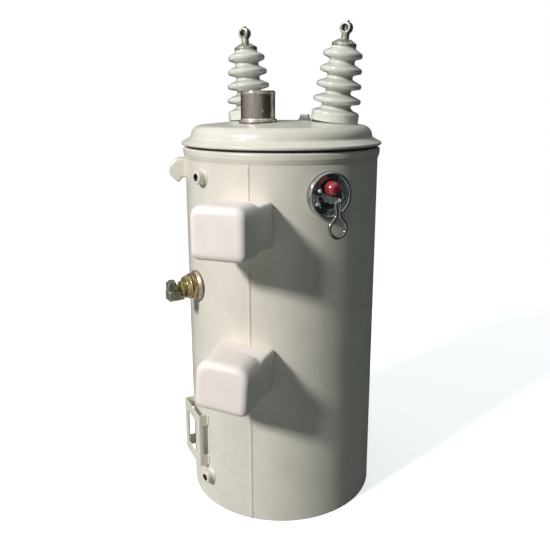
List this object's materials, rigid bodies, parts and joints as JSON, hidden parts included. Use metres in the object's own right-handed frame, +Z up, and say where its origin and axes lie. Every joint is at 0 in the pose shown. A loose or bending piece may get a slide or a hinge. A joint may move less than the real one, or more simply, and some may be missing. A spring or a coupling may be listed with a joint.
{
  "type": "pole mounted transformer",
  "caption": "Single phase pole mounted distribution transformer: round tank, domed lid, two porcelain high voltage bushings, side terminals, hanger brackets and a relief valve with a pull ring.",
  "frame": {"origin": "on the tank's axis, at the underside of its bottom plate", "axes": "+Z up along the tank's axis; -Y is the pole side, which the two hanger brackets face"},
  "size_m": [0.4311, 0.6294, 1.0147],
  "materials": {
    "tank_paint": "smooth light grey enamel",
    "bracket_cover_white": "soft white moulded plastic",
    "gasket_rubber": "black nitrile rubber",
    "porcelain_glaze": "pale grey glazed porcelain",
    "tinned_bronze": "tin plated bronze",
    "dull_aluminium": "dull satin aluminium",
    "valve_chrome": "bright chrome plate",
    "red_plastic": "glossy red plastic",
    "copper": "bare copper",
    "yellow_brass": "yellow brass"
  },
  "bodies": {
    "transformer": {"cover_gasket": "gasket_rubber", "cover_plug": "tank_paint", "hv_bolt_left": "tinned_bronze", "hv_bolt_right": "tinned_bronze", "hv_cap_left": "tinned_bronze", "hv_cap_right": "tinned_bronze", "hv_eye_left": "tinned_bronze", "hv_eye_right": "tinned_bronze", "hv_gasket_left": "gasket_rubber", "hv_gasket_right": "gasket_rubber", "hv_porcelain_left": "porcelain_glaze", "hv_porcelain_right": "porcelain_glaze", "lifting_lug": "tank_paint", "lower_bracket": "tank_paint", "lower_bracket_cover": "bracket_cover_white", "lower_ground_boss": "tank_paint", "lv_bushing_1": "porcelain_glaze", "lv_bushing_2": "porcelain_glaze", "lv_bushing_3": "porcelain_glaze", "lv_terminal_1": "tinned_bronze", "lv_terminal_2": "tinned_bronze", "lv_terminal_3": "tinned_bronze", "nameplate_frame": "tank_paint", "tank_bottom": "tank_paint", "tank_cover": "tank_paint", "tank_rim": "tank_paint", "tank_wall": "tank_paint", "tap_changer_cap": "dull_aluminium", "terminal_clamp": "tinned_bronze", "terminal_clamp_bolt": "tinned_bronze", "terminal_copper_washer": "copper", "terminal_gasket": "gasket_rubber", "terminal_lock_nut": "yellow_brass", "terminal_nut": "yellow_brass", "terminal_stud": "yellow_brass", "terminal_taper_nut": "yellow_brass", "terminal_washer": "yellow_brass", "upper_bracket": "tank_paint", "upper_bracket_cover": "bracket_cover_white", "upper_ground_boss": "tank_paint", "valve_body": "valve_chrome", "valve_cap": "red_plastic", "valve_dish": "valve_chrome", "valve_link": "valve_chrome", "valve_rim": "valve_chrome"},
    "pull_ring": {"pull_ring": "valve_chrome"}
  },
  "joints": [
    {"name": "pull_ring_swing", "type": "hinge", "parent": "transformer", "child": "pull_ring", "pos_m": [0.17063, -0.16477, 0.677], "axis": [-0.6947, -0.7193, 0], "range_deg": [0, 100]}
  ]
}
